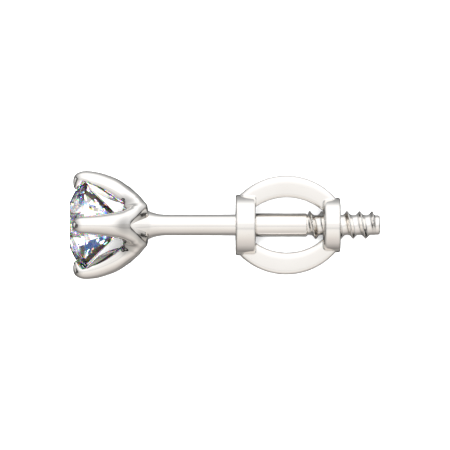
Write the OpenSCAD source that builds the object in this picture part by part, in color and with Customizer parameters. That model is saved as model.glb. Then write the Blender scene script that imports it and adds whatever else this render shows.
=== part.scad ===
// Single stud earring: a round brilliant in a four-claw split basket on a
// threaded post, with a screw back. The back is two round collars on a flat
// eye-shaped ring. All lengths are in millimetres.
// Along the post, a place is its distance behind the stone's table.

/* [Stone] */
// Diameter of the stone across its girdle
stone_d = 4.1; // [4.0:0.05:4.15]
// Table width as a share of the stone's diameter
table_share = 0.59; // [0.55:0.01:0.62]
// Height of the crown, from the girdle up to the table
crown_h = 0.68; // [0.6:0.01:0.72]
// Thickness of the girdle
girdle_t = 0.12; // [0.1:0.01:0.14]
// Slope of the pavilion's main facets, in degrees
pavilion_slope = 42.5; // [40:0.5:43]

/* [Basket] */
// Radius over the claws at the girdle
basket_r = 2.6; // [2.58:0.01:2.64]
// How fast the basket closes in behind the girdle
basket_close = 0.203; // [0.195:0.001:0.21]
// Width of a claw at the girdle
claw_w = 0.75; // [0.7:0.01:0.8]
// Width of each leg that a claw splits into
leg_w = 0.67; // [0.62:0.01:0.7]
// Depth of a leg, from the outside of the basket inwards
leg_depth = 0.94; // [0.9:0.01:0.98]
// Place of the basket's rear end
basket_end = 3.72; // [3.68:0.01:3.76]

/* [Post] */
// Diameter of the post in front of the screw back
post_d = 1.0; // [0.96:0.01:1.04]
// Diameter of the shank that runs between the collars
shank_d = 1.12; // [1.06:0.01:1.16]
// Diameter over the thread's crests
thread_d = 1.35; // [1.3:0.01:1.36]
// Diameter at the thread's roots
root_d = 0.95; // [0.9:0.01:1.0]
// Pitch of the right-hand thread
thread_pitch = 0.6; // [0.55:0.01:0.65]
// Place where the thread starts
thread_start = 11.36; // [11.3:0.02:11.5]
// Place of the post's tip
post_end = 14.87; // [14.8:0.01:15.0]

/* [Screw back] */
// Place of the front collar's front face
collar_place = 7.94; // [7.9:0.02:8.0]
// Diameter of the front collar
front_collar_d = 2.92; // [2.85:0.01:3.0]
// Length of the front collar
front_collar_l = 0.96; // [0.9:0.01:1.0]
// Diameter of the rear collar
rear_collar_d = 2.62; // [2.55:0.01:2.7]
// Length of the rear collar
rear_collar_l = 0.82; // [0.78:0.01:0.86]
// Length of the whole screw back over both collars
back_l = 5.03; // [5.0:0.01:5.1]
// Thickness of the flat ring
ring_t = 0.95; // [0.8:0.01:1.1]
// Running gap between the thread's crests and the bores
run_gap = 0.035; // [0.03:0.005:0.05]

/* [Lie] */
// Roll about the post, from an upright ring to the way it lies on a surface
lie_roll = -60.94; // [-90:0.01:0]
// Pitch of the post, with the tip lower than the head
lie_pitch = 4.82; // [0:0.01:8]
// Height of the table's centre above the surface
lie_height = 2.387; // [2:0.001:3]

/* [Hidden] */
$fn = 64;
gold = [0.90, 0.89, 0.87];
clear = [0.93, 0.96, 1.0];
// Half the length of the earring as it lies
lie_mid = 7.373;
// Clear space between the stone and the claws that hold it
seat_gap = 0.02;
stone_r = stone_d / 2;
table_r = stone_r * table_share;
girdle_s = crown_h + girdle_t;
pavilion_h = stone_r * tan(pavilion_slope);
culet_s = girdle_s + pavilion_h;
// How far the star facets reach over the crown and the lower girdle facets down the pavilion
star_share = 0.52;
lower_half = 0.76;
// The basket's outside: its radius stays level to the girdle and then closes in
// with this power of the distance behind it
close_from = 0.77;
close_power = 1.8;
// Sides of a claw's section, and steps along each piece of the basket
bar_sides = 14;
claw_steps = 9;
leg_steps = 7;
// The claws' tips, folded over the crown: where the tip starts, then its sections as
// [place, radius, slope, width as a share of the claw's, depth]
tip_s = 0.29;
tip_r = 1.71;
tip_sections = [
    [tip_s, tip_r, -90, 0.54, 0.2],
    [tip_s, tip_r + 0.07, -90, 0.76, 0.32],
    [tip_s + 0.03, tip_r + 0.28, -83, 0.92, 0.37],
    [tip_s + 0.09, tip_r + 0.47, -50, 0.98, 0.54]
];
fold_s = 0.54;
claw_end = 2.42;
// Half depth of a claw at the girdle, and how fast half its depth and width grow
claw_half = 0.32;
claw_deepens = 0.25;
claw_widens = 0.09;
// A leg's centre line runs from inside the claw to the window's round end
leg_from = 1.95;
leg_run = 1.42;
leg_flare = 0.2;
// The post's flare inside the basket, from its closed front, as [place, radius]
flare = [
    [2.92, 0], [2.92, 0.6], [3.04, 0.76], [3.3, 0.82], [3.72, 0.71], [3.95, 0.6],
    [4.2, 0.545], [4.5, post_d / 2]
];
// Each foot runs out from inside the flare to this radius
foot_from = 0.45;
foot_to = 1.26;
// The step between the two diameters of the post lies inside the front collar
step_s = 8.4;
// Sides of the thread's section, the length over which it runs in and out, the place
// of a crest behind its start, how pointed the crests are, and the chamfer of the tip
thread_sides = 16;
run_out = 0.08;
crest_at = 0.13;
crest_power = 1.35;
plain_tip = 0.24;
tip_chamfer = 0.12;
overlap = 0.05;
// Fillets of the collars and the ring
collar_fillet = 0.09;
rear_fillet = 0.18;
ring_fillet = 0.16;
// The ring's sides are arcs: radius, and how far past the post its centre lies
outer_arc_r = 3.15;
outer_arc_off = 0.8;
inner_arc_r = 2.66;
inner_arc_off = 1.33;
ring_mid = 10.37;
inner_mid = 10.4;
// How far the ring's ends reach into the collars short of their outer faces
ring_inset = 0.12;
bore_r = thread_d / 2 + run_gap;
back_end = collar_place + back_l;
rear_collar_s = back_end - rear_collar_l;

// Turns a shape drawn upwards along Z so that it runs back along the post
module along(s = 0) translate([s, 0, 0]) rotate([0, 90, 0]) children();

// Lays the earring down as it rests on a surface, on one claw, the ring and the rear
// collar, with the origin under the middle of the whole
module lie() translate([-lie_mid, 0, lie_height]) rotate([0, lie_pitch, 0]) rotate([lie_roll, 0, 0])
    children();

// Solid of revolution round the post, from points [place, radius]
module turned(points) rotate([0, 90, 0]) rotate_extrude()
    polygon([for (p = points) [p[1], p[0]]]);

// A point at radius r and azimuth a, at the place s along the post
function at(s, r, a) = [s, r * sin(a), r * cos(a)];

// Outer radius of the basket and the slope of its outside, at a place s
function behind(s) = max(0, s - close_from);
function outer_r(s) = basket_r - basket_close * pow(behind(s), close_power);
function outer_slope(s) = atan(close_power * basket_close * pow(behind(s), close_power - 1));

// One ring of a bar's section. c is [place, radius, azimuth] of its centre, turn the
// heading of the bar in the basket's outside (0 runs back, 90 runs round the post),
// tilt the slope of the outside, w and d the half width and half depth.
function bar_ring(c, turn, tilt, w, d) = [
    for (i = [0 : bar_sides - 1])
        let (
            a = 360 * (i + 0.5) / bar_sides,
            across = w * cos(a),
            out = d * sin(a),
            s = c[0] - across * sin(turn) * cos(tilt) + out * sin(tilt),
            r = c[1] + across * sin(turn) * sin(tilt) + out * cos(tilt),
            y = across * cos(turn)
        )
        [s, y * cos(c[2]) + r * sin(c[2]), r * cos(c[2]) - y * sin(c[2])]
];

// A closed bar through the given rings, all with the same number of points
module bar(rings) {
    n = len(rings[0]);
    m = len(rings);
    points = [for (ring = rings) each ring];
    sides = [
        for (j = [0 : m - 2], i = [0 : n - 1])
            let (k = (i + 1) % n)
            each [[j * n + i, (j + 1) * n + i, j * n + k], [j * n + k, (j + 1) * n + i, (j + 1) * n + k]]
    ];
    first = [for (i = [0 : n - 1]) i];
    last = [for (i = [n - 1 : -1 : 0]) (m - 1) * n + i];
    polyhedron(points, concat(sides, [first], [last]));
}

// Half depth and half width of a claw grow from the girdle to the fork
function claw_half_depth(s) = min(leg_depth / 2, claw_half + claw_deepens * behind(s));
function claw_half_width(s) = claw_w / 2 + claw_widens * behind(s);

// Centre of a bar whose outside lies on the basket's outside at s
function bar_centre(s, d, azimuth) = [
    s - d * sin(outer_slope(s)), outer_r(s) - d * cos(outer_slope(s)), azimuth
];

// The claw: its folded tip, then straight back under the basket's outside to the fork
module claw() {
    tip = [
        for (p = tip_sections)
            bar_ring([p[0], p[1], 0], 0, p[2], claw_w * p[3] / 2, p[4] / 2)
    ];
    rear = [
        for (j = [0 : claw_steps])
            let (s = fold_s + j * (claw_end - fold_s) / claw_steps, d = claw_half_depth(s))
            bar_ring(bar_centre(s, d, 0), 0, outer_slope(s), claw_half_width(s), d)
    ];
    bar(concat(tip, rear));
}

// A leg's centre line in the basket's outside: share t runs from inside the claw (0)
// to halfway round to the next claw (1)
function leg_s(t) = leg_from + leg_run * sin(90 * pow(t, 0.9));
function leg_azimuth(t) = 45 * (0.2 * t + 0.8 * pow(t, 2.2));
function leg_turn(t) = 90 * pow(t, 1.15);

// Two legs in one bar, from claw to claw, which close a window with a round end
module arch() {
    d = leg_depth / 2;
    bar([
        for (j = [-leg_steps : leg_steps])
            let (
                t = 1 - abs(j) / leg_steps,
                near = j <= 0,
                s = leg_s(t),
                azimuth = near ? leg_azimuth(t) : 90 - leg_azimuth(t),
                turn = near ? leg_turn(t) : 180 - leg_turn(t)
            )
            bar_ring(
                bar_centre(s, d, azimuth), turn, outer_slope(s),
                leg_w / 2 * (1 + leg_flare * pow(t, 4)), d
            )
    ]);
}

// The foot where an arch is joined to the post's flare
module foot() {
    r = leg_w / 2;
    rotate([-45, 0, 0]) translate([basket_end - r, 0, foot_from]) cylinder(r = r, h = foot_to - foot_from);
}

// The room that the stone takes up, with its gap
module stone_room() {
    g = seat_gap;
    turned([
        [-1, 0], [-1, table_r], [-g, table_r], [crown_h - g, stone_r + g],
        [girdle_s + g, stone_r + g], [culet_s + 2 * g, 0]
    ]);
}

// The thread and its core: a rod whose radius follows the right-hand helix
module thread() {
    n = thread_sides;
    rise = thread_pitch / n;
    s0 = thread_start - 2 * overlap;
    rows = floor((post_end - plain_tip + overlap - s0) / rise);
    root = root_d / 2 - overlap / 5;
    bar([
        for (i = [rows : -1 : 0])
            [
                for (k = [0 : n - 1])
                    let (
                        s = s0 + i * rise,
                        turn = (s - thread_start - crest_at) / thread_pitch + k / n,
                        off = abs(turn - round(turn)) * 2,
                        inside = min(s - thread_start, post_end - plain_tip - 2 * overlap - s),
                        edge = min(1, max(0, inside / run_out)),
                        r = root + (thread_d / 2 - root) * edge * pow(1 - off, crest_power)
                    )
                    at(s, r, 360 * k / n)
            ]
    ]);
}

// The post: flare, front part, thicker shank, and the plain end behind the thread
module post() {
    turned(concat(flare, [
        [step_s, post_d / 2], [step_s, shank_d / 2],
        [thread_start, shank_d / 2], [thread_start, 0]
    ]));
    root = root_d / 2;
    core = root - 2 * overlap;
    e = tip_chamfer;
    turned([
        [thread_start - overlap, 0], [thread_start - overlap, core],
        [post_end - plain_tip - 2 * overlap, core], [post_end - plain_tip, root],
        [post_end - e, root], [post_end - e / 3, root - e / 3],
        [post_end, root - e], [post_end, 0]
    ]);
}

// The claw head, post and thread, soldered into one piece
module setting() color(gold) lie() {
    difference() {
        union() {
            for (q = [0 : 3]) rotate([90 * q, 0, 0]) claw();
            for (q = [0 : 3]) rotate([90 * q, 0, 0]) arch();
            for (q = [0 : 3]) rotate([90 * q, 0, 0]) foot();
        }
        stone_room();
    }
    post();
    thread();
}

// A round brilliant: table, eight stars, eight kites and sixteen upper girdle facets,
// the girdle, then sixteen lower girdle facets and eight mains down to the culet
module brilliant() {
    table_flat = table_r * cos(22.5);
    star_r = table_flat + star_share * (stone_r - table_flat);
    star_s = crown_h * (star_r * cos(22.5) - table_r) / (stone_r - table_r);
    low_r = stone_r * (1 - lower_half) / cos(22.5);
    low_s = culet_s - pavilion_h * low_r * cos(22.5) / stone_r;
    points = concat(
        [for (i = [0 : 7]) at(0, table_r, 45 * i)],
        [for (i = [0 : 7]) at(star_s, star_r, 45 * i + 22.5)],
        [for (i = [0 : 15]) at(crown_h, stone_r, 22.5 * i)],
        [for (i = [0 : 15]) at(girdle_s, stone_r, 22.5 * i)],
        [for (i = [0 : 7]) at(low_s, low_r, 45 * i + 22.5)],
        [[culet_s, 0, 0]]
    );
    faces = concat(
        [[for (i = [7 : -1 : 0]) i]],
        [for (i = [0 : 7]) [i, (i + 1) % 8, 8 + i]],
        [for (i = [0 : 7]) [i, 8 + i, 16 + 2 * i, 8 + (i + 7) % 8]],
        [for (i = [0 : 7]) [8 + i, 17 + 2 * i, 16 + 2 * i]],
        [for (i = [0 : 7]) [8 + i, 16 + (2 * i + 2) % 16, 17 + 2 * i]],
        [for (j = [0 : 15]) [16 + j, 16 + (j + 1) % 16, 32 + (j + 1) % 16, 32 + j]],
        [for (i = [0 : 7]) [48 + i, 32 + 2 * i, 33 + 2 * i]],
        [for (i = [0 : 7]) [48 + i, 33 + 2 * i, 32 + (2 * i + 2) % 16]],
        [for (i = [0 : 7]) [56, 48 + (i + 7) % 8, 32 + 2 * i, 48 + i]]
    );
    polyhedron(points, faces);
}

// The stone, with its table to the front
module stone() color(clear) lie() rotate([22.5, 0, 0]) brilliant();

// A round collar from s on, with its own fillets at its front and rear edges
module collar(s, l, d, front, rear) {
    r = d / 2;
    along(s) rotate_extrude() union() {
        translate([0, front]) square([r, l - front - rear]);
        square([r - front, l]);
        square([r - rear, l]);
        translate([r - front, front]) circle(front);
        translate([r - rear, l - rear]) circle(rear);
    }
}

// A flat disc about Z with rounded rims
module round_disc(r) rotate_extrude() union() {
    translate([0, ring_fillet - ring_t / 2]) square([r, ring_t - 2 * ring_fillet]);
    translate([0, -ring_t / 2]) square([r - ring_fillet, ring_t]);
    for (side = [-1, 1])
        translate([r - ring_fillet, side * (ring_t / 2 - ring_fillet)]) circle(ring_fillet);
}

// A cutter about Z that leaves rounded rims on the opening it cuts
module round_cut(r) rotate_extrude() difference() {
    translate([0, -ring_t]) square([r + ring_fillet, 2 * ring_t]);
    translate([r, ring_fillet - ring_t / 2]) square([1, ring_t - 2 * ring_fillet]);
    for (side = [-1, 1])
        translate([r + ring_fillet, side * (ring_t / 2 - ring_fillet)]) circle(ring_fillet);
}

// The flat ring between the collars, an eye of two pairs of arcs
module ring() {
    difference() {
        intersection() {
            translate([ring_mid, outer_arc_off, 0]) round_disc(outer_arc_r);
            translate([ring_mid, -outer_arc_off, 0]) round_disc(outer_arc_r);
            translate([collar_place + ring_inset, -outer_arc_r, -ring_t])
                cube([back_l - 2 * ring_inset, 2 * outer_arc_r, 2 * ring_t]);
        }
        intersection() {
            translate([inner_mid, inner_arc_off, 0]) round_cut(inner_arc_r);
            translate([inner_mid, -inner_arc_off, 0]) round_cut(inner_arc_r);
        }
    }
}

// The screw back: two collars soldered to the ring, bored to run over the thread
module screw_back() color(gold) lie() {
    difference() {
        union() {
            collar(collar_place, front_collar_l, front_collar_d, collar_fillet, collar_fillet);
            collar(rear_collar_s, rear_collar_l, rear_collar_d, rear_fillet, collar_fillet);
            rotate([90, 0, 0]) ring();
        }
        along(collar_place - 1) cylinder(r = bore_r, h = back_l + 2);
    }
}

setting();
stone();
screw_back();
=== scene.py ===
import math

import bmesh
import bpy
from mathutils import Matrix, Vector


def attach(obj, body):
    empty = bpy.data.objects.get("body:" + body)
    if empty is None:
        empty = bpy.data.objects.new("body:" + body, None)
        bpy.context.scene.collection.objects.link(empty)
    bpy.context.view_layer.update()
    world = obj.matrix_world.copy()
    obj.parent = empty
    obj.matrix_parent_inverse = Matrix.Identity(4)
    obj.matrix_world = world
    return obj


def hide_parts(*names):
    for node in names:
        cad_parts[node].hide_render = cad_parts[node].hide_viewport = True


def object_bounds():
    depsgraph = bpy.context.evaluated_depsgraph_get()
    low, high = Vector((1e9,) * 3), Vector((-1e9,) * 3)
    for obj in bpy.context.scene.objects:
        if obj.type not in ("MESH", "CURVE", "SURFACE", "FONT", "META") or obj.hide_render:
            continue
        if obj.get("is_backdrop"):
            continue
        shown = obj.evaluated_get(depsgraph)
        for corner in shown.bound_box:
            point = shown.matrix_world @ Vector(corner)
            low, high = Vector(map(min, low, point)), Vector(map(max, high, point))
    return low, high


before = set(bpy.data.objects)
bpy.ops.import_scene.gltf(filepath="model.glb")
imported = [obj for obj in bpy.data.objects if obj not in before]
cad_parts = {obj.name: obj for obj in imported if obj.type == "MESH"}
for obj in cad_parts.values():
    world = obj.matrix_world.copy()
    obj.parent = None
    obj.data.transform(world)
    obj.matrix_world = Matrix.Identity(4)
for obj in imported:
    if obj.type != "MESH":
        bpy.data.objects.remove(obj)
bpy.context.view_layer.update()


# Claw basket: four claws of white gold, cast in one piece. Each claw folds over the stone's crown
# and forks into two legs, the legs of neighbouring claws join below a round-ended window, and the
# four joints run in to the flare of the post, where they are soldered. Polished all over.
MM = 0.001
HAIR = 1e-6  # corners that lie closer than this, in metres, are one

# How the earring lies by itself: the middle of the stone's table, in mm, and in degrees how far the
# post dips to its rear end and how far the earring is rolled over
TABLE_MIDDLE, DIP, ROLL = (-7.373, 0, 2.387), 4.82, -60.94
EARRING_LIES = (
    Matrix.Translation(Vector(TABLE_MIDDLE) * MM)
    @ Matrix.Rotation(math.radians(DIP), 4, "Y")
    @ Matrix.Rotation(math.radians(ROLL), 4, "X")
)


def spot(place, radius, azimuth=0.0):
    """A point of the earring while its post lies along X.

    It is given in millimetres behind the stone's table, millimetres from the post's middle, and
    degrees round the post from the upper claw.
    """
    turn = math.radians(azimuth)
    return Vector((place, radius * math.sin(turn), radius * math.cos(turn))) * MM


def start_piece(name):
    """A new mesh in edit mode: one small square, all of it picked."""
    bpy.ops.object.select_all(action="DESELECT")
    bpy.ops.mesh.primitive_plane_add(size=MM)
    bpy.context.object.name = bpy.context.object.data.name = name
    bpy.ops.object.mode_set(mode="EDIT")
    bpy.ops.mesh.select_mode(type="VERT")
    bpy.ops.mesh.select_all(action="SELECT")
    return bpy.context.object


def pick(kind, wanted):
    """Picks just the vertices, edges or faces for which wanted(element) is true."""
    bpy.ops.mesh.select_mode(type=kind)
    bpy.ops.mesh.select_all(action="DESELECT")
    mesh = bmesh.from_edit_mesh(bpy.context.object.data)
    for element in {"VERT": mesh.verts, "EDGE": mesh.edges, "FACE": mesh.faces}[kind]:
        element.select = wanted(element)
    mesh.select_flush_mode()
    bmesh.update_edit_mesh(bpy.context.object.data)


def drag_corners(before, goals):
    """Drags each picked corner from its spot before to its goal."""
    mesh = bmesh.from_edit_mesh(bpy.context.object.data)
    picked = [corner.index for corner in mesh.verts if corner.select]
    mesh.verts.ensure_lookup_table()
    moves = [
        (min(picked, key=lambda index: (mesh.verts[index].co - start).length), goal)
        for start, goal in zip(before, goals)
    ]
    for index, goal in moves:
        pick("VERT", lambda corner: corner.index == index)
        mesh = bmesh.from_edit_mesh(bpy.context.object.data)
        mesh.verts.ensure_lookup_table()
        bpy.ops.transform.translate(value=goal - mesh.verts[index].co)
    pick("VERT", lambda corner: corner.index in picked)


def finish_modifier(piece, kind, **settings):
    """Adds one modifier with its settings and applies it."""
    bpy.ops.object.select_all(action="DESELECT")
    bpy.context.view_layer.objects.active = piece
    piece.select_set(True)
    modifier = piece.modifiers.new(kind.title(), kind)
    for name, value in settings.items():
        setattr(modifier, name, value)
    bpy.ops.object.modifier_apply(modifier=modifier.name)


def turned(name, outline):
    """A piece turned on the lathe, from the corners of its outline as (place, radius) in mm."""
    piece = start_piece(name)
    bpy.ops.mesh.merge(type="CENTER")
    bpy.ops.transform.translate(value=spot(*outline[0]))
    for here, there in zip(outline, outline[1:]):
        bpy.ops.mesh.extrude_region_move(TRANSFORM_OT_translate={"value": spot(*there) - spot(*here)})
    bpy.ops.mesh.select_all(action="SELECT")
    bpy.ops.mesh.spin(steps=96, angle=2 * math.pi, center=(0, 0, 0), axis=(1, 0, 0))
    bpy.ops.mesh.select_all(action="SELECT")
    bpy.ops.mesh.remove_doubles(threshold=1e-7)
    bpy.ops.mesh.normals_make_consistent(inside=False)
    bpy.ops.object.mode_set(mode="OBJECT")
    return piece


# Half a claw and one leg, section by section, from the folded tip to halfway round the window. Each
# line is the outer corner by the middle or the notch, the outer and the inner corner by the window,
# and the inner corner by the middle or the notch, as (place, sideways, out from the post) in mm.
HALF_CLAW = [
    [(0.20, 0.00, 1.64), (0.24, 0.17, 1.68), (0.44, 0.19, 1.74), (0.46, 0.00, 1.72)],
    [(0.11, 0.00, 1.95), (0.18, 0.30, 1.99), (0.62, 0.34, 2.02), (0.68, 0.00, 2.00)],
    [(0.08, 0.00, 2.475), (0.27, 0.40, 2.31), (0.78, 0.38, 2.06), (0.88, 0.00, 1.94)],
    [(0.56, 0.00, 2.73), (0.62, 0.46, 2.40), (0.93, 0.42, 1.92), (0.97, 0.00, 1.58)],
    [(1.00, 0.00, 2.71), (1.01, 0.47, 2.36), (1.08, 0.43, 1.88), (1.10, 0.00, 1.45)],
    [(1.48, 0.00, 2.64), (1.43, 0.52, 2.26), (1.34, 0.46, 1.80), (1.32, 0.00, 1.34)],
    [(1.94, 0.00, 2.49), (1.86, 0.59, 2.11), (1.68, 0.51, 1.62), (1.62, 0.00, 1.23)],
    [(2.40, 0.00, 2.32), (2.29, 0.68, 1.95), (2.04, 0.56, 1.36), (1.98, 0.00, 1.06)],
    [(2.90, 0.00, 1.84), (2.66, 0.77, 1.80), (2.22, 0.58, 1.10), (2.94, 0.00, 0.96)],
    [(3.00, 0.15, 1.73), (2.86, 0.85, 1.65), (2.31, 0.59, 1.05), (3.03, 0.05, 0.93)],
    [(3.14, 0.32, 1.605), (3.02, 0.91, 1.52), (2.36, 0.62, 1.00), (3.14, 0.12, 0.88)],
    [(3.35, 0.46, 1.43), (3.16, 0.98, 1.40), (2.38, 0.66, 0.96), (3.30, 0.19, 0.80)],
    [(3.53, 0.68, 1.165), (3.27, 1.04, 1.27), (2.39, 0.73, 0.90), (3.52, 0.26, 0.70)],
    [(3.79, 0.92, 0.92), (3.32, 1.145, 1.145), (2.39, 0.80, 0.80), (3.92, 0.44, 0.44)],
]
FORK = 8  # the section from which the two legs part

# How sharp the four long edges are, in the order of the corners: from which section on, and how sharp
EDGES = [(FORK, 0.55), (FORK + 3, 0.2), (3, 0.35), (FORK, 1.0)]

# The seat that is cut into the claws for the stone, with a hair of room round it
SEAT = [(-0.5, 0), (-0.5, 1.19), (-0.02, 1.19), (0.66, 2.07), (0.82, 2.07), (2.72, 0)]

basket = start_piece("claw_basket")
square = [v.co.copy() for v in bmesh.from_edit_mesh(basket.data).verts]
corners = [square[i] for i in (0, 1, 3, 2)]
for number, section in enumerate(HALF_CLAW):
    if number:
        bpy.ops.mesh.extrude_region_move()
    goals = [Vector(corner) * MM for corner in section]
    drag_corners(corners, goals)
    corners = goals


def is_cut(face):
    """True for a face where this half joins the next: in the claw's middle or halfway round a window."""
    middle = all(abs(v.co.y) < HAIR for v in face.verts)
    halfway = all(abs(v.co.y - v.co.z) < HAIR for v in face.verts)
    return middle or halfway


pick("FACE", is_cut)
bpy.ops.mesh.delete(type="FACE")
for column, (first, sharpness) in enumerate(EDGES):
    line = [Vector(section[column]) * MM for section in HALF_CLAW[first:]]
    pick("EDGE", lambda e: all(min((v.co - place).length for place in line) < HAIR for v in e.verts))
    bpy.ops.transform.edge_crease(value=sharpness)
bpy.ops.object.mode_set(mode="OBJECT")
finish_modifier(basket, "MIRROR", use_axis=(False, True, False), use_clip=False, merge_threshold=HAIR)
bpy.ops.object.mode_set(mode="EDIT")
bpy.ops.mesh.select_all(action="SELECT")
bpy.ops.mesh.spin(steps=3, dupli=True, angle=1.5 * math.pi, center=(0, 0, 0), axis=(1, 0, 0))
bpy.ops.mesh.select_all(action="SELECT")
bpy.ops.mesh.remove_doubles(threshold=HAIR)
bpy.ops.mesh.normals_make_consistent(inside=False)
bpy.ops.object.mode_set(mode="OBJECT")
finish_modifier(basket, "SUBSURF", levels=3, render_levels=3)

seat = turned("seat", SEAT)
finish_modifier(basket, "BOOLEAN", object=seat, operation="DIFFERENCE", solver="EXACT")
bpy.data.objects.remove(seat)
bpy.ops.object.shade_smooth_by_angle(angle=math.radians(35))


def white_gold(name, seed, corner):
    """Polished white gold, faintly uneven in colour and polish, with hairlines from the buff.

    The seed shifts its pattern, and corner is how far edges and soldered corners are softened, in mm.
    """
    gold = bpy.data.materials.new(name)
    gold.use_nodes = True
    nodes, links = gold.node_tree.nodes, gold.node_tree.links
    shader = nodes["Principled BSDF"]
    shader.inputs["Metallic"].default_value = 1.0
    place = nodes.new("ShaderNodeTexCoord")
    shift = nodes.new("ShaderNodeMapping")
    shift.inputs["Location"].default_value = (0.01 * seed, 0.02 * seed, 0)
    links.new(place.outputs["Object"], shift.inputs["Vector"])

    cloud = nodes.new("ShaderNodeTexNoise")
    cloud.inputs["Scale"].default_value = 420.0
    cloud.inputs["Detail"].default_value = 3.0
    links.new(shift.outputs["Vector"], cloud.inputs["Vector"])
    tone = nodes.new("ShaderNodeValToRGB")
    tone.color_ramp.elements[0].position = 0.3
    tone.color_ramp.elements[0].color = (0.945, 0.922, 0.893, 1)
    tone.color_ramp.elements[1].position = 0.7
    tone.color_ramp.elements[1].color = (0.975, 0.958, 0.935, 1)
    links.new(cloud.outputs["Fac"], tone.inputs["Fac"])
    links.new(tone.outputs["Color"], shader.inputs["Base Color"])

    polish = nodes.new("ShaderNodeMapRange")
    polish.inputs["To Min"].default_value = 0.035
    polish.inputs["To Max"].default_value = 0.075
    links.new(cloud.outputs["Fac"], polish.inputs["Value"])
    links.new(polish.outputs["Result"], shader.inputs["Roughness"])

    stretch = nodes.new("ShaderNodeMapping")
    stretch.inputs["Scale"].default_value = (0.12, 1.0, 1.0)
    stretch.inputs["Rotation"].default_value = (0.4, 0.2 * seed, 0.5)
    links.new(shift.outputs["Vector"], stretch.inputs["Vector"])
    hairline = nodes.new("ShaderNodeTexNoise")
    hairline.inputs["Scale"].default_value = 9000.0
    hairline.inputs["Detail"].default_value = 2.0
    links.new(stretch.outputs["Vector"], hairline.inputs["Vector"])
    soften = nodes.new("ShaderNodeBevel")
    soften.samples = 4
    soften.inputs["Radius"].default_value = corner * MM
    relief = nodes.new("ShaderNodeBump")
    relief.inputs["Strength"].default_value = 0.02
    relief.inputs["Distance"].default_value = 0.002 * MM
    links.new(hairline.outputs["Fac"], relief.inputs["Height"])
    links.new(soften.outputs["Normal"], relief.inputs["Normal"])
    links.new(relief.outputs["Normal"], shader.inputs["Normal"])
    return gold


def lay_down(piece, body, node, material):
    """Gives a finished piece its material and lays it down as the earring rests on the table.

    The piece then rides on its body and stands for its solid.
    """
    piece.data.materials.clear()
    piece.data.materials.append(material)
    bpy.ops.object.select_all(action="DESELECT")
    bpy.context.view_layer.objects.active = piece
    piece.select_set(True)
    piece.matrix_world = EARRING_LIES
    bpy.ops.object.transform_apply(location=True, rotation=True, scale=True)
    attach(piece, body)
    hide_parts(node)


stud_gold = white_gold("white_gold_of_the_stud", 1, 0.04)
lay_down(basket, "stud", "setting", stud_gold)


# Post: white gold rod, turned with a flare where the basket stands on it and a step up to the shank
# that runs between the collars. The rear is cut with a right-hand thread that fades out before the
# plain tip, and the tip's edge is rounded so that it goes through the ear easily.
POST_R, SHANK_R, ROOT_R, CREST_R, PITCH = 0.5, 0.56, 0.475, 0.675, 0.6
POST_FRONT, FLARE_FROM, FLARE_L, FLARE_H = 2.90, 3.76, 0.80, 0.177
SHANK_FROM, SHANK_TO, THREAD_FROM, THREAD_TO, POST_END = 8.4, 11.31, 11.36, 14.66, 14.87
CORE_R = ROOT_R - 0.02  # under the thread, where the post's own skin doesn't show


def rounded(corner, before, after, size, steps=5):
    """The outline points that round a corner off with a fillet of about that size."""
    corner, before, after = Vector(corner), Vector(before), Vector(after)
    start = corner + (before - corner).normalized() * size
    end = corner + (after - corner).normalized() * size
    return [
        tuple(start * (1 - t) ** 2 + corner * 2 * t * (1 - t) + end * t**2)
        for t in (k / steps for k in range(steps + 1))
    ]


flare = [(FLARE_FROM + FLARE_L * k / 20, POST_R + FLARE_H * (1 - k / 20) ** 1.9) for k in range(21)]
post = turned("post", [
    (POST_FRONT, 0), (POST_FRONT, 0.86),
    *rounded((POST_FRONT, 1.02), (POST_FRONT, 0.86), (3.40, 0.828), 0.06),
    (3.40, 0.822), (3.60, 0.741), *flare, (SHANK_FROM, POST_R),
    *rounded((SHANK_FROM, SHANK_R), (SHANK_FROM, POST_R), (9, SHANK_R), 0.02, 2), (SHANK_TO, SHANK_R),
    *rounded((SHANK_TO + 0.06, SHANK_R - 0.03), (SHANK_TO, SHANK_R), (SHANK_TO + 0.09, ROOT_R), 0.03, 3),
    (SHANK_TO + 0.09, CORE_R), (THREAD_TO - 0.04, CORE_R), (THREAD_TO - 0.02, ROOT_R),
    *rounded((POST_END, ROOT_R), (POST_END - 0.2, ROOT_R), (POST_END, 0), 0.11, 8), (POST_END, 0),
])

thread = start_piece("thread")
bpy.ops.mesh.merge(type="CENTER")
# One pitch of the thread, from crest to crest: pointed crests and wide hollow roots. Each pair is the
# share of the pitch and the share of the thread's height.
groove = [
    (0.0, 1.0), (0.03, 0.95), (0.07, 0.81), (0.12, 0.60), (0.18, 0.37), (0.25, 0.18), (0.33, 0.06),
    (0.42, 0.01), (0.5, 0.0),
]
groove += [(1 - along, height) for along, height in groove[-2::-1]]

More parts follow.
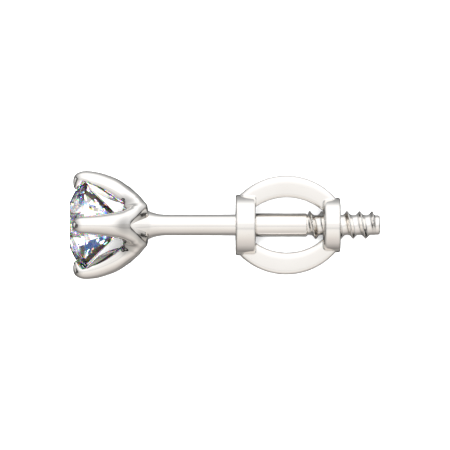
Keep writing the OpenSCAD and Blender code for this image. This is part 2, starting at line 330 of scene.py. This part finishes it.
# How far behind the thread's front end its first crest on the upper side lies, and the lengths over
# which it fades in and out, in mm
CREST_AT, FADE_IN, FADE_OUT = 0.13, 0.10, 0.14
start = THREAD_FROM + CREST_AT - 2 * PITCH
outline = [(start + along * PITCH, ROOT_R + height * (CREST_R - ROOT_R)) for along, height in groove]
bpy.ops.transform.translate(value=spot(*outline[0]))
for here, there in zip(outline, outline[1:]):
    bpy.ops.mesh.extrude_region_move(TRANSFORM_OT_translate={"value": spot(*there) - spot(*here)})
bpy.ops.object.mode_set(mode="OBJECT")
finish_modifier(
    thread, "SCREW", axis="X", angle=2 * math.pi, screw_offset=PITCH * MM, iterations=8,
    steps=64, render_steps=64, use_merge_vertices=False,
)
bpy.ops.object.mode_set(mode="EDIT")
bpy.ops.mesh.select_all(action="SELECT")
bpy.ops.mesh.remove_doubles(threshold=1e-7)
for place, end_normal in ((THREAD_FROM + 0.01, -1), (THREAD_TO, 1)):
    bpy.ops.mesh.select_all(action="SELECT")
    bpy.ops.mesh.bisect(
        plane_co=spot(place, 0), plane_no=(end_normal, 0, 0), use_fill=False, clear_outer=True,
        threshold=1e-8,
    )
bpy.ops.object.mode_set(mode="OBJECT")
for corner in thread.data.vertices:
    place, radius = corner.co.x / MM, math.hypot(corner.co.y, corner.co.z) / MM
    room = min((place - THREAD_FROM - 0.01) / FADE_IN, (THREAD_TO - place) / FADE_OUT, 1)
    fade = room * room * (3 - 2 * room)
    corner.co.yz = corner.co.yz * (ROOT_R + (radius - ROOT_R) * fade) / radius
bpy.ops.object.mode_set(mode="EDIT")
pick("EDGE", lambda edge: len(edge.link_faces) == 1)
bpy.ops.mesh.edge_face_add()
bpy.ops.mesh.select_all(action="SELECT")
bpy.ops.mesh.normals_make_consistent(inside=False)
bpy.ops.object.mode_set(mode="OBJECT")
bpy.ops.object.select_all(action="DESELECT")
thread.select_set(True)
post.select_set(True)
bpy.context.view_layer.objects.active = post
bpy.ops.object.join()
bpy.ops.object.shade_smooth_by_angle(angle=math.radians(40))
lay_down(post, "stud", "setting", stud_gold)


# Stone: a round brilliant, ground from a short round rod one flat at a time as a cutter does. The
# table, eight stars, eight kites and sixteen upper facets make the crown, and sixteen lower facets
# and eight mains the pavilion. What is left of the rod is the girdle, scalloped by the facets.
STONE_R, TABLE_R, CROWN_H, GIRDLE_T = 2.05, 1.2095, 0.70, 0.07
PAVILION_SLOPE, STAR_REACH, LOWER_REACH = 42.5, 0.52, 0.76
EIGHTH, SIXTEENTH = 45, 22.5  # of a turn, in degrees
INSET = math.cos(math.radians(SIXTEENTH))  # how far in the sides of an eight-sided ring lie
CULET = CROWN_H + GIRDLE_T + STONE_R * math.tan(math.radians(PAVILION_SLOPE))

# The rod stands 0.1 mm out before the table and 0.3 mm behind the culet
bpy.ops.object.select_all(action="DESELECT")
bpy.ops.mesh.primitive_cylinder_add(
    vertices=128, radius=STONE_R * MM, depth=(CULET + 0.4) * MM,
    location=spot((CULET + 0.2) / 2, 0), rotation=(0, math.pi / 2, 0),
)
stone = bpy.context.object
stone.name = stone.data.name = "round_brilliant"
bpy.ops.object.transform_apply(location=True, rotation=True, scale=True)
bpy.ops.object.mode_set(mode="EDIT")


def grind(a, b, c):
    """Grinds the stone flat through three spots, on the side away from its middle."""
    normal = (b - a).cross(c - a).normalized()
    if normal.dot(a - spot(1.0, 0)) < 0:
        normal.negate()
    bpy.ops.mesh.select_all(action="SELECT")
    bpy.ops.mesh.bisect(plane_co=a, plane_no=normal, use_fill=True, clear_outer=True, threshold=1e-8)


grind(spot(0, 1, 0), spot(0, 1, 120), spot(0, 1, 240))
TABLE_FLAT = TABLE_R * INSET
STAR_R = TABLE_FLAT + STAR_REACH * (STONE_R - TABLE_FLAT)
STAR_S = CROWN_H * (STAR_R * INSET - TABLE_R) / (STONE_R - TABLE_R)
LOW_R = STONE_R * (1 - LOWER_REACH) / INSET
LOW_S = CULET - (CULET - CROWN_H - GIRDLE_T) * LOW_R * INSET / STONE_R
for k in range(8):
    turn = SIXTEENTH + EIGHTH * k
    before, after = turn - SIXTEENTH, turn + SIXTEENTH
    kite = spot(0, TABLE_R, turn), spot(STAR_S, STAR_R, before), spot(STAR_S, STAR_R, after)
    main = spot(CULET, 0), spot(LOW_S, LOW_R, before), spot(LOW_S, LOW_R, after)
    grind(*kite)
    grind(*main)
for k in range(8):
    turn = EIGHTH * k
    star = spot(STAR_S, STAR_R, turn)
    low = spot(LOW_S, LOW_R, turn)
    grind(star, spot(0, TABLE_R, turn - SIXTEENTH), spot(0, TABLE_R, turn + SIXTEENTH))
    for side in (turn - SIXTEENTH, turn + SIXTEENTH):
        grind(star, spot(CROWN_H, STONE_R, turn), spot(CROWN_H, STONE_R, side))
        grind(low, spot(CROWN_H + GIRDLE_T, STONE_R, turn), spot(CROWN_H + GIRDLE_T, STONE_R, side))
bpy.ops.mesh.select_all(action="SELECT")
bpy.ops.mesh.remove_doubles(threshold=1e-7)
bpy.ops.mesh.normals_make_consistent(inside=False)
bpy.ops.object.mode_set(mode="OBJECT")
for face in stone.data.polygons:
    middle = face.center
    face.use_smooth = abs(face.normal.x) < 0.05 and math.hypot(middle.y, middle.z) > 0.99 * STONE_R * MM

# The tints are painted light, standing in for the light that goes round inside: painted shade
# leaves some flats dark or grey, two are painted dark blue, some are clear, and others get painted
# specks of fire. Each kind is its tint, how clear it looks and how much it sparkles.
CLEAR = ((1.0, 1.0, 1.0, 0.92), 0.0)
GLASSY = ((1.0, 1.0, 1.0, 1.0), 0.0)
PAINTED_GREY_SHADE = ((0.42, 0.40, 0.37, 0.12), 0.0)
PAINTED_DARK_BLUE = ((0.03, 0.055, 0.14, 0.05), 0.5)
PAINTED_DARK_SHADE = ((0.03, 0.024, 0.018, 0.03), 0.3)
PAINTED_SHADE_WITH_SPECKS = ((0.25, 0.235, 0.215, 0.05), 0.36)
PAINTED_BLUISH_GLITTER = ((0.62, 0.68, 0.85, 0.3), 0.55)

# The kinds of the sixteen lower facets, eight mains and sixteen upper facets, for half a turn: the
# other half repeats them
# Painted shade, painted blue and painted specks are set out facet by facet here
LOWER = [PAINTED_GREY_SHADE, PAINTED_DARK_SHADE, PAINTED_DARK_BLUE, CLEAR, CLEAR, PAINTED_SHADE_WITH_SPECKS, PAINTED_DARK_SHADE, PAINTED_GREY_SHADE]
MAINS = [PAINTED_DARK_SHADE, CLEAR, CLEAR, PAINTED_DARK_SHADE]
UPPER = [PAINTED_GREY_SHADE, PAINTED_BLUISH_GLITTER, CLEAR, CLEAR, CLEAR, PAINTED_BLUISH_GLITTER, PAINTED_BLUISH_GLITTER, PAINTED_BLUISH_GLITTER]
# From here round, the girdle is painted dark as shade
PAINTED_DARK_GIRDLE_FROM = 314  # degrees round from the upper claw
stone.data.color_attributes.new("facets", "FLOAT_COLOR", "CORNER")
stone.data.attributes.new("sparkles", "FLOAT", "CORNER")
facets, sparkles = stone.data.attributes["facets"].data, stone.data.attributes["sparkles"].data
for face in stone.data.polygons:
    azimuth = math.degrees(math.atan2(face.normal.y, face.normal.z)) % 360
    step = round(azimuth / (SIXTEENTH / 2))
    flat = CLEAR
    if face.normal.x > 0.05:
        flat = LOWER[step // 2 % 8] if step % 2 else MAINS[(step - 2) // 4 % 4]
    elif not face.use_smooth and face.normal.x > -0.99:
        flat = UPPER[step // 2 % 8]
    # The girdle gets painted shade on one side and stays clear glass on the rest
    elif face.use_smooth:
        flat = PAINTED_DARK_SHADE if azimuth > PAINTED_DARK_GIRDLE_FROM else GLASSY
    for corner in face.loop_indices:
        facets[corner].color, sparkles[corner].value = flat

diamond = bpy.data.materials.new("diamond")
diamond.use_nodes = True
nodes, links = diamond.node_tree.nodes, diamond.node_tree.links
nodes.remove(nodes["Principled BSDF"])
facet = nodes.new("ShaderNodeAttribute")
facet.attribute_name = "facets"
place = nodes.new("ShaderNodeTexCoord")

# The specks are painted fire and glints: small cells, each of one hue, that show where a coarser
# noise peaks. The more a flat sparkles, the lower the peaks that are enough.
painted_fire_speck = nodes.new("ShaderNodeTexVoronoi")
painted_fire_speck.inputs["Scale"].default_value = 5500.0
links.new(place.outputs["Object"], painted_fire_speck.inputs["Vector"])
single = nodes.new("ShaderNodeSeparateColor")
links.new(painted_fire_speck.outputs["Color"], single.inputs["Color"])
painted_fire_hues = nodes.new("ShaderNodeValToRGB")
painted_fire_hues.color_ramp.interpolation = "CONSTANT"
painted_fire_hues.color_ramp.elements[0].color = (0.03, 0.03, 0.05, 1)
painted_fire_hues.color_ramp.elements[1].color = (1, 1, 1, 1)
painted_fire_hues.color_ramp.elements[1].position = 0.85
for at, color in (
    (0.16, (0.20, 0.23, 0.38)), (0.30, (1.0, 1.0, 1.0)), (0.52, (1.0, 0.62, 0.30)),
    (0.60, (0.30, 0.45, 1.0)), (0.67, (0.50, 0.50, 0.52)), (0.77, (0.55, 0.95, 0.75)),
    (0.79, (1.0, 0.65, 0.80)), (0.81, (1.0, 0.95, 0.55)),
):
    painted_fire_hues.color_ramp.elements.new(at).color = (*color, 1)
links.new(single.outputs["Red"], painted_fire_hues.inputs["Fac"])
sparkle = nodes.new("ShaderNodeAttribute")
sparkle.attribute_name = "sparkles"
flash = nodes.new("ShaderNodeTexNoise")
flash.inputs["Scale"].default_value = 1700.0
links.new(place.outputs["Object"], flash.inputs["Vector"])
chance = nodes.new("ShaderNodeMath")
chance.operation = "MULTIPLY_ADD"
chance.inputs[1].default_value = 0.3
links.new(sparkle.outputs["Fac"], chance.inputs[0])
links.new(flash.outputs["Fac"], chance.inputs[2])
edge = nodes.new("ShaderNodeValToRGB")
edge.color_ramp.elements[0].position = 0.64
edge.color_ramp.elements[1].position = 0.67
links.new(chance.outputs["Value"], edge.inputs["Fac"])
# The painted specks of fire are mixed into each flat's painted tint here
colored = nodes.new("ShaderNodeMix")
colored.data_type = "RGBA"
links.new(edge.outputs["Color"], colored.inputs["Factor"])
links.new(facet.outputs["Color"], colored.inputs["A"])
links.new(painted_fire_hues.outputs["Color"], colored.inputs["B"])

# The fire comes from red, green and blue light that are each bent a little more than the last
fire = None
for color, bend in (((1, 0, 0, 1), 2.38), ((0, 1, 0, 1), 2.42), ((0, 0, 1, 1), 2.47)):
    glass = nodes.new("ShaderNodeBsdfGlass")
    tint = nodes.new("ShaderNodeMix")
    tint.data_type, tint.blend_type = "RGBA", "MULTIPLY"
    tint.inputs["Factor"].default_value = 1.0
    tint.inputs["B"].default_value = color
    links.new(colored.outputs["Result"], tint.inputs["A"])
    links.new(tint.outputs["Result"], glass.inputs["Color"])
    glass.inputs["IOR"].default_value = bend
    glass.inputs["Roughness"].default_value = 0.0
    if fire:
        both = nodes.new("ShaderNodeAddShader")
        links.new(fire.outputs[0], both.inputs[0])
        links.new(glass.outputs[0], both.inputs[1])
        fire = both
    else:
        fire = glass

# A glass that hardly bends light takes over where a flat looks clear
plain = nodes.new("ShaderNodeBsdfGlass")
plain.inputs["IOR"].default_value = 1.12
plain.inputs["Roughness"].default_value = 0.0
share = nodes.new("ShaderNodeMixShader")
links.new(facet.outputs["Alpha"], share.inputs["Fac"])
links.new(fire.outputs[0], share.inputs[1])
links.new(plain.outputs[0], share.inputs[2])
links.new(share.outputs[0], nodes["Material Output"].inputs["Surface"])
lay_down(stone, "stud", "stone", diamond)
stone.visible_shadow = False


# Screw back: two round collars soldered to a flat eye-shaped ring that the fingers turn. The front
# collar presses on the ear, the rear one runs on the thread, and both have soft turned edges. The
# solder makes a small hollow corner all round where the ring meets them.
back_gold = white_gold("white_gold_of_the_back", 3, 0.09)
BORE_R, BORE_EDGE = 0.71, 0.03


def collar(name, front, rear, radius, front_fillet, rear_fillet):
    """A collar between two places, with its outer edges rounded and the edges of its bore broken."""
    a, b = (front, radius), (rear, radius)
    return turned(name, [
        (front + BORE_EDGE, BORE_R), (front, BORE_R + BORE_EDGE),
        *rounded(a, (front, 0), b, front_fillet, 7), *rounded(b, a, (rear, 0), rear_fillet, 7),
        (rear, BORE_R + BORE_EDGE), (rear - BORE_EDGE, BORE_R), (front + BORE_EDGE, BORE_R),
    ])


front_collar = collar(
    "front_collar", front=7.94, rear=8.90, radius=1.46, front_fillet=0.11, rear_fillet=0.11,
)
rear_collar = collar(
    "rear_collar", front=12.15, rear=12.97, radius=1.31, front_fillet=0.20, rear_fillet=0.11,
)

# One arm of the ring: its two arcs are drawn, bridged, given their thickness and rounded at the rims.
# Each arc is its radius, the place of its middle, how far that lies under the post's middle, and the
# places where the arc begins and ends, in mm.
OUTER_ARC = (3.15, 10.37, 0.78, 8.12, 12.78)
INNER_ARC = (2.66, 10.40, 1.335, 8.62, 12.30)
RING_T, RIM_R = 0.95, 0.16
arm = start_piece("ring")
bpy.ops.mesh.merge(type="CENTER")
last = Vector((0, 0, 0))
for radius, middle, below, starts_at, ends_at in (OUTER_ARC, INNER_ARC):
    first, end = (math.asin((place - middle) / radius) for place in (starts_at, ends_at))
    angles = [first + (end - first) * k / 48 for k in range(49)]
    arc = [
        Vector((middle + radius * math.sin(angle), -RING_T / 2, radius * math.cos(angle) - below)) * MM
        for angle in angles
    ]
    if last.length:
        bpy.ops.mesh.duplicate_move(TRANSFORM_OT_translate={"value": arc[0] - last})
    else:
        bpy.ops.transform.translate(value=arc[0])
    for here, there in zip(arc, arc[1:]):
        bpy.ops.mesh.extrude_region_move(TRANSFORM_OT_translate={"value": there - here})
    last = arc[-1]
bpy.ops.mesh.select_all(action="SELECT")
bpy.ops.mesh.bridge_edge_loops()
bpy.ops.mesh.select_all(action="SELECT")
bpy.ops.mesh.extrude_region_move(TRANSFORM_OT_translate={"value": Vector((0, RING_T, 0)) * MM})
bpy.ops.mesh.select_all(action="SELECT")
bpy.ops.mesh.normals_make_consistent(inside=False)


def is_rim(edge):
    """True for an edge between a flat side of the arm and one of its walls."""
    slants = [abs(face.normal.y) for face in edge.link_faces]
    return len(slants) == 2 and abs(slants[0] - slants[1]) > 0.9


pick("EDGE", is_rim)
bpy.ops.mesh.bevel(offset=RIM_R * MM, segments=5, profile=0.5, affect="EDGES")
bpy.ops.object.mode_set(mode="OBJECT")
finish_modifier(arm, "MIRROR", use_axis=(False, False, True), merge_threshold=1e-7)
# The arm's inner edge would reach the thread inside the rear collar, so the bore is cut through it too
bore = turned("bore", [(8, 0), (8, BORE_R), (13, BORE_R), (13, 0)])
finish_modifier(arm, "BOOLEAN", object=bore, operation="DIFFERENCE", solver="EXACT")
bpy.data.objects.remove(bore)

bpy.ops.object.select_all(action="DESELECT")
for piece in (front_collar, rear_collar, arm):
    piece.select_set(True)
bpy.context.view_layer.objects.active = arm
bpy.ops.object.join()
arm.name = arm.data.name = "screw_back_ring_and_collars"
bpy.ops.object.shade_smooth_by_angle(angle=math.radians(35))
finish_modifier(arm, "WEIGHTED_NORMAL", keep_sharp=True)
lay_down(arm, "back", "screw_back", back_gold)


# Table, light and camera: a pale table top, a white tent of soft light that darkens low down, at its
# ends and on its far side, four small dark openings in it, one soft lamp, and a camera that looks
# square on to the ring, as the photo does, from about 60 degrees above the table.
bpy.ops.object.select_all(action="DESELECT")
bpy.ops.mesh.primitive_plane_add(size=0.6, location=(0, 0, 0))
table_top = bpy.context.object
table_top.name = table_top.data.name = "table_top"
table_top.visible_glossy = False
paper = bpy.data.materials.new("pale_paper")
paper.use_nodes = True
paper.node_tree.nodes["Principled BSDF"].inputs["Base Color"].default_value = (0.94, 0.94, 0.94, 1)
paper.node_tree.nodes["Principled BSDF"].inputs["Roughness"].default_value = 0.9
paper.node_tree.nodes["Principled BSDF"].inputs["Specular IOR Level"].default_value = 0.1
table_top.data.materials.append(paper)
table_top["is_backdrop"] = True

tent = bpy.data.worlds.new("light_tent")
bpy.context.scene.world = tent
tent.use_nodes = True
nodes, links = tent.node_tree.nodes, tent.node_tree.links
direction = nodes.new("ShaderNodeTexCoord")
turn_to_post = nodes.new("ShaderNodeVectorRotate")
turn_to_post.rotation_type = "EULER_XYZ"
turn_to_post.invert = True
turn_to_post.inputs["Rotation"].default_value = EARRING_LIES.to_euler("XYZ")
links.new(direction.outputs["Generated"], turn_to_post.inputs["Vector"])
split = nodes.new("ShaderNodeSeparateXYZ")
links.new(turn_to_post.outputs["Vector"], split.inputs["Vector"])
level = nodes.new("ShaderNodeSeparateXYZ")
links.new(direction.outputs["Generated"], level.inputs["Vector"])


def shade(tone):
    """The ramp's colour for a grey, or for the three parts of a colour."""
    return (*tone, 1) if isinstance(tone, tuple) else (tone, tone, tone, 1)


def band(source, stops):
    """A ramp of greys or colours along one direction of the tent, which starts at -1 and ends at 1."""
    spread = nodes.new("ShaderNodeMapRange")
    spread.inputs["From Min"].default_value = -1.0
    links.new(source, spread.inputs["Value"])
    ramp = nodes.new("ShaderNodeValToRGB")
    ramp.color_ramp.elements[0].color = shade(stops[0][1])
    ramp.color_ramp.elements[1].color = shade(stops[-1][1])
    for at, tone in stops[1:-1]:
        ramp.color_ramp.elements.new((at + 1) / 2).color = shade(tone)
    links.new(spread.outputs["Result"], ramp.inputs["Fac"])
    return ramp.outputs["Color"]


def times(a, b):
    """One light multiplied by another."""
    mix = nodes.new("ShaderNodeMix")
    mix.data_type, mix.blend_type = "RGBA", "MULTIPLY"
    mix.inputs["Factor"].default_value = 1.0
    links.new(a, mix.inputs["A"])
    links.new(b, mix.inputs["B"])
    return mix.outputs["Result"]


# The tent's light from the lower claw's side to the upper claw's, from the table to the ceiling, from
# the camera's side to the far side, and from the stone's end to the screw's end
upright = band(split.outputs["Z"], [
    (-1.0, (0.79, 0.745, 0.71)), (-0.87, (0.79, 0.745, 0.71)), (-0.74, (0.80, 0.77, 0.73)),
    (-0.34, (0.81, 0.795, 0.775)), (-0.25, (0.66, 0.65, 0.64)), (-0.13, (0.81, 0.80, 0.785)),
    (0.06, (0.845, 0.835, 0.825)), (0.13, 1.0), (1.0, 1.0),
])
rising = band(level.outputs["Z"], [
    (-1.0, 0.78), (-0.93, 0.78), (-0.87, 0.60), (-0.71, 0.66), (-0.48, 0.63), (-0.24, 0.74),
    (0.0, 0.83), (0.22, 0.91), (0.5, 1.0), (1.0, 1.0),
])
away = band(split.outputs["Y"], [
    (-1.0, 1.0), (-0.05, 1.0), (0.19, 0.72), (0.40, 0.50), (0.65, 0.44), (0.80, 0.38), (0.92, 0.16),
    (1.0, 0.10),
])
endwise = band(split.outputs["X"], [
    (-1.0, 0.85), (-0.925, 0.75), (-0.895, 0.08), (-0.84, 0.06), (-0.80, 0.42), (-0.6, 0.64),
    (-0.42, 0.86), (-0.25, 1.0), (0.6, 1.0), (0.75, 0.82), (0.85, 0.66), (0.93, 0.5), (0.95, 0.06),
    (0.98, 0.06), (1.0, 0.5),
])
light = times(times(times(upright, away), rising), endwise)

# The small dark openings: a dark ring about each of these directions, as the post lies along X
OPENINGS = ((-0.84, -0.54, 0.0), (-0.84, -0.41, -0.35), (0.77, 0.60, 0.22), (0.77, 0.60, -0.22))
for toward in OPENINGS:
    near = nodes.new("ShaderNodeVectorMath")
    near.operation = "DOT_PRODUCT"
    near.inputs[1].default_value = Vector(toward).normalized()
    links.new(turn_to_post.outputs["Vector"], near.inputs[0])
    light = times(light, band(near.outputs["Value"], [
        (-1.0, 1.0), (0.962, 1.0), (0.968, 0.01), (0.990, 0.01), (0.993, 1.0), (1.0, 1.0),
    ]))
links.new(light, nodes["Background"].inputs["Color"])
nodes["Background"].inputs["Strength"].default_value = 1.15

camera = bpy.data.objects.new("camera", bpy.data.cameras.new("camera"))
bpy.context.scene.collection.objects.link(camera)
bpy.context.scene.camera = camera
# Half of the angle and half of the width that it sees, and the place on the post that it looks at
HALF_ANGLE, HALF_WIDTH, AIMS_AT = math.radians(2.5), 10.8 * MM, 7.435
SENSOR_WIDTH = 36.0
camera.data.sensor_width = SENSOR_WIDTH
camera.data.lens = SENSOR_WIDTH / 2 / math.tan(HALF_ANGLE)
camera.data.clip_start = 0.005
camera.data.clip_end = 2.0
target = EARRING_LIES @ spot(AIMS_AT, 0)
lies = EARRING_LIES.to_3x3()
look, up = lies @ Vector((0, 1, 0)), lies @ Vector((0, 0, 1))
facing = Matrix((look.cross(up), up, -look)).transposed().to_4x4()
camera.matrix_world = Matrix.Translation(target - look * HALF_WIDTH / math.tan(HALF_ANGLE)) @ facing

SOFTBOX_AWAY = 0.14  # metres from the earring, on the camera's side
softbox = bpy.data.objects.new("softbox", bpy.data.lights.new("softbox", "AREA"))
bpy.context.scene.collection.objects.link(softbox)
softbox.data.shape = "DISK"
softbox.data.size = 0.12
softbox.data.energy = 0.7
softbox.visible_glossy = False
softbox.visible_transmission = False
softbox.matrix_world = Matrix.Translation(target - look * SOFTBOX_AWAY) @ facing

scene = bpy.context.scene
scene.view_settings.view_transform = "Standard"
scene.cycles.use_denoising = True
scene.cycles.max_bounces = 32
scene.cycles.glossy_bounces = 24
scene.cycles.transmission_bounces = 20
scene.cycles.caustics_reflective = False
scene.cycles.caustics_refractive = False
scene.cycles.sample_clamp_indirect = 8.0

low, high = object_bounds()
